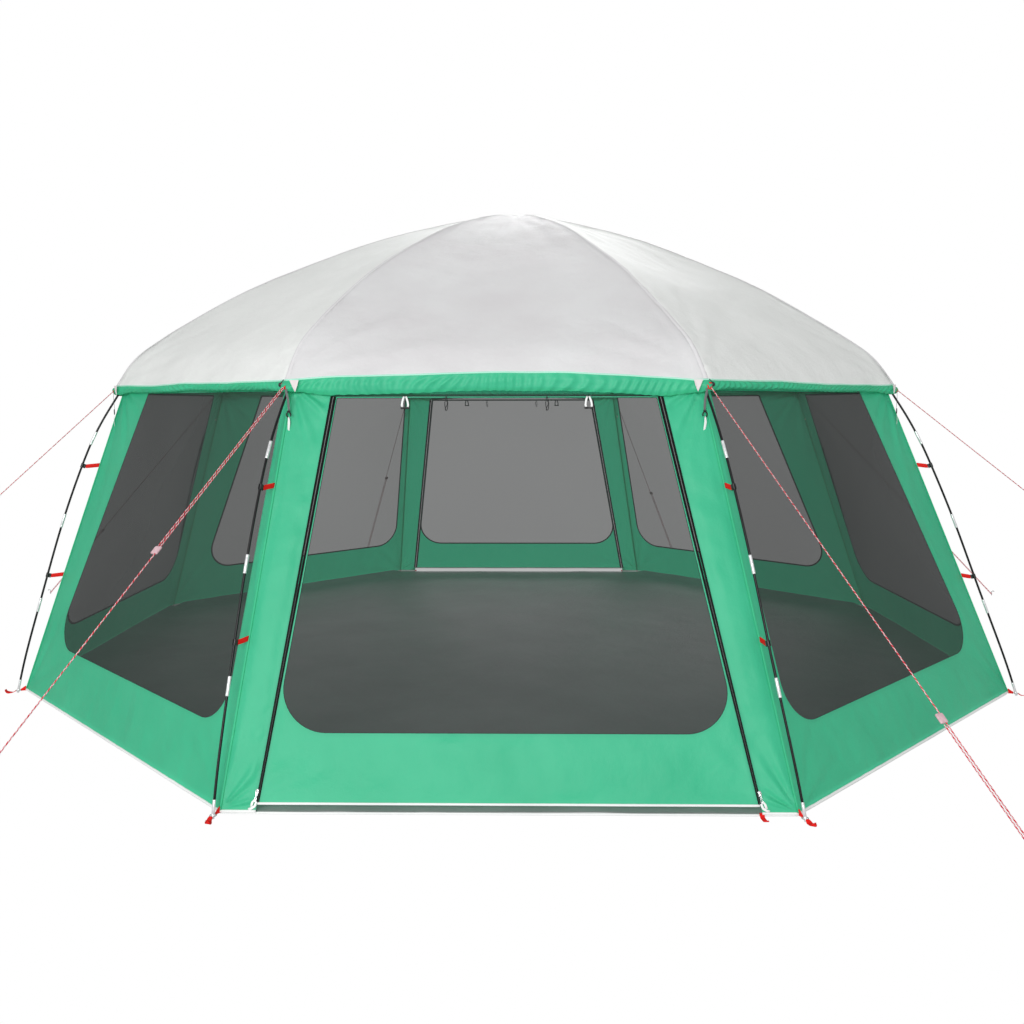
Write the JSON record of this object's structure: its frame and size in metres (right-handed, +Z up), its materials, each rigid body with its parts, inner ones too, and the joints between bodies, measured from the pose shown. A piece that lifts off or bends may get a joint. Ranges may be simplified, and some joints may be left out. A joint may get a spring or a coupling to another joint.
{
  "type": "screen house",
  "caption": "Octagonal dome screen house on crossed arch poles, with mesh windows, a zipped lift-up door front and back, a ground sheet and guy ropes.",
  "frame": {"origin": "on the ground under the crown, at the centre of the octagon", "axes": "+Z up, -Y out of the front door, +X to the right seen from inside looking out of the back"},
  "size_m": [8.0416, 8.3557, 2.782],
  "materials": {
    "pole_fibreglass": "satin black wrapped fibreglass",
    "ferrule_alloy": "pale anodised sleeve",
    "steel": "zinc plated",
    "roof_fabric": "coated polyester, light warm grey",
    "wall_fabric": "coated polyester, green",
    "netting": "fine knitted insect netting, dark grey",
    "zip_tape": "woven black zip tape",
    "zip_metal": "nickel",
    "floor_fabric": "dark grey coated groundsheet",
    "white_tape": "white woven binding",
    "red_webbing": "red woven webbing",
    "black_plastic": "moulded acetal",
    "guy_cord": "braided cord, red with white fleck"
  },
  "bodies": {
    "frame_and_shell": {"arch_pole_1": "pole_fibreglass", "arch_pole_2": "pole_fibreglass", "arch_pole_3": "pole_fibreglass", "arch_pole_4": "pole_fibreglass", "corner_patches": "white_tape", "corner_webbing": "red_webbing", "eave_hooks": "black_plastic", "floor": "floor_fabric", "foot_rings": "steel", "guy_pegs": "steel", "guy_rope_back_left": "guy_cord", "guy_rope_back_right": "guy_cord", "guy_rope_front_left": "guy_cord", "guy_rope_front_right": "guy_cord", "guy_rope_left_back": "guy_cord", "guy_rope_left_front": "guy_cord", "guy_rope_right_back": "guy_cord", "guy_rope_right_front": "guy_cord", "hem_bindings": "white_tape", "pole_clips": "black_plastic", "pole_ferrules": "ferrule_alloy", "pole_tips": "steel", "roof_canopy": "roof_fabric", "valance": "wall_fabric", "wall_back": "wall_fabric", "wall_back_left": "wall_fabric", "wall_back_right": "wall_fabric", "wall_front": "wall_fabric", "wall_front_left": "wall_fabric", "wall_front_right": "wall_fabric", "wall_left": "wall_fabric", "wall_right": "wall_fabric", "window_meshes": "netting", "zip_tapes_fixed": "zip_tape"},
    "back_door_leaf": {"back_door": "wall_fabric", "back_door_mesh": "netting", "back_door_ties": "white_tape", "back_door_toggles": "black_plastic", "back_door_zip_tapes": "zip_tape"},
    "back_zip_pull_left_body": {"back_zip_pull_left": "zip_metal"},
    "back_zip_pull_right_body": {"back_zip_pull_right": "zip_metal"},
    "back_zip_slider_left_body": {"back_zip_slider_left": "zip_metal"},
    "back_zip_slider_right_body": {"back_zip_slider_right": "zip_metal"},
    "front_door_leaf": {"front_door": "wall_fabric", "front_door_mesh": "netting", "front_door_ties": "white_tape", "front_door_toggles": "black_plastic", "front_door_zip_tapes": "zip_tape"},
    "front_zip_pull_left_body": {"front_zip_pull_left": "zip_metal"},
    "front_zip_pull_right_body": {"front_zip_pull_right": "zip_metal"},
    "front_zip_slider_left_body": {"front_zip_slider_left": "zip_metal"},
    "front_zip_slider_right_body": {"front_zip_slider_right": "zip_metal"},
    "guy_runner_back_left_body": {"guy_runner_back_left": "black_plastic"},
    "guy_runner_back_right_body": {"guy_runner_back_right": "black_plastic"},
    "guy_runner_front_left_body": {"guy_runner_front_left": "black_plastic"},
    "guy_runner_front_right_body": {"guy_runner_front_right": "black_plastic"},
    "guy_runner_left_back_body": {"guy_runner_left_back": "black_plastic"},
    "guy_runner_left_front_body": {"guy_runner_left_front": "black_plastic"},
    "guy_runner_right_back_body": {"guy_runner_right_back": "black_plastic"},
    "guy_runner_right_front_body": {"guy_runner_right_front": "black_plastic"}
  },
  "joints": [
    {"name": "front_door_lift", "type": "hinge", "parent": "frame_and_shell", "child": "front_door_leaf", "pos_m": [0, -2.15704, 1.63591], "axis": [-1, 0, 0], "range_deg": [0, 70]},
    {"name": "back_door_lift", "type": "hinge", "parent": "frame_and_shell", "child": "back_door_leaf", "pos_m": [0, 2.15704, 1.63591], "axis": [1, 0, 0], "range_deg": [0, 70]},
    {"name": "front_zip_left", "type": "slide", "parent": "frame_and_shell", "child": "front_zip_slider_left_body", "axis": [0.131, 0.3313, 0.9344], "range_m": [0, 1.58]},
    {"name": "front_zip_pull_left_swing", "type": "hinge", "parent": "front_zip_slider_left_body", "child": "front_zip_pull_left_body", "pos_m": [-0.98258, -2.71488, 0.08916], "axis": [-0.9914, 0.0438, 0.1235], "range_deg": [0, 150]},
    {"name": "front_zip_right", "type": "slide", "parent": "frame_and_shell", "child": "front_zip_slider_right_body", "axis": [-0.1952, 0.3278, 0.9244], "range_m": [0, 1.58]},
    {"name": "front_zip_pull_right_swing", "type": "hinge", "parent": "front_zip_slider_right_body", "child": "front_zip_pull_right_body", "pos_m": [0.97646, -2.71483, 0.08928], "axis": [-0.9808, -0.0652, -0.184], "range_deg": [0, 150]},
    {"name": "back_zip_left", "type": "slide", "parent": "frame_and_shell", "child": "back_zip_slider_left_body", "axis": [-0.1952, -0.3278, 0.9244], "range_m": [0, 1.58]},
    {"name": "back_zip_pull_left_swing", "type": "hinge", "parent": "back_zip_slider_left_body", "child": "back_zip_pull_left_body", "pos_m": [0.97646, 2.71483, 0.08928], "axis": [0.9808, -0.0652, 0.184], "range_deg": [0, 150]},
    {"name": "back_zip_right", "type": "slide", "parent": "frame_and_shell", "child": "back_zip_slider_right_body", "axis": [0.131, -0.3313, 0.9344], "range_m": [0, 1.58]},
    {"name": "back_zip_pull_right_swing", "type": "hinge", "parent": "back_zip_slider_right_body", "child": "back_zip_pull_right_body", "pos_m": [-0.98258, 2.71488, 0.08916], "axis": [0.9914, 0.0438, -0.1235], "range_deg": [0, 150]},
    {"name": "runner_front_left", "type": "slide", "parent": "frame_and_shell", "child": "guy_runner_front_left_body", "axis": [-0.2891, -0.7491, -0.596], "range_m": [-0.25, 0.25]},
    {"name": "runner_front_right", "type": "slide", "parent": "frame_and_shell", "child": "guy_runner_front_right_body", "axis": [0.3154, -0.7073, -0.6327], "range_m": [-0.25, 0.25]},
    {"name": "runner_right_front", "type": "slide", "parent": "frame_and_shell", "child": "guy_runner_right_front_body", "axis": [0.7175, -0.2879, -0.6343], "range_m": [-0.25, 0.25]},
    {"name": "runner_right_back", "type": "slide", "parent": "frame_and_shell", "child": "guy_runner_right_back_body", "axis": [0.7103, 0.2847, -0.6437], "range_m": [-0.25, 0.25]},
    {"name": "runner_back_right", "type": "slide", "parent": "frame_and_shell", "child": "guy_runner_back_right_body", "axis": [0.3133, 0.7014, -0.6402], "range_m": [-0.25, 0.25]},
    {"name": "runner_back_left", "type": "slide", "parent": "frame_and_shell", "child": "guy_runner_back_left_body", "axis": [-0.2714, 0.7109, -0.6488], "range_m": [-0.25, 0.25]},
    {"name": "runner_left_back", "type": "slide", "parent": "frame_and_shell", "child": "guy_runner_left_back_body", "axis": [-0.6865, 0.2941, -0.665], "range_m": [-0.25, 0.25]},
    {"name": "runner_left_front", "type": "slide", "parent": "frame_and_shell", "child": "guy_runner_left_front_body", "axis": [-0.6684, -0.2869, -0.6862], "range_m": [-0.25, 0.25]}
  ]
}
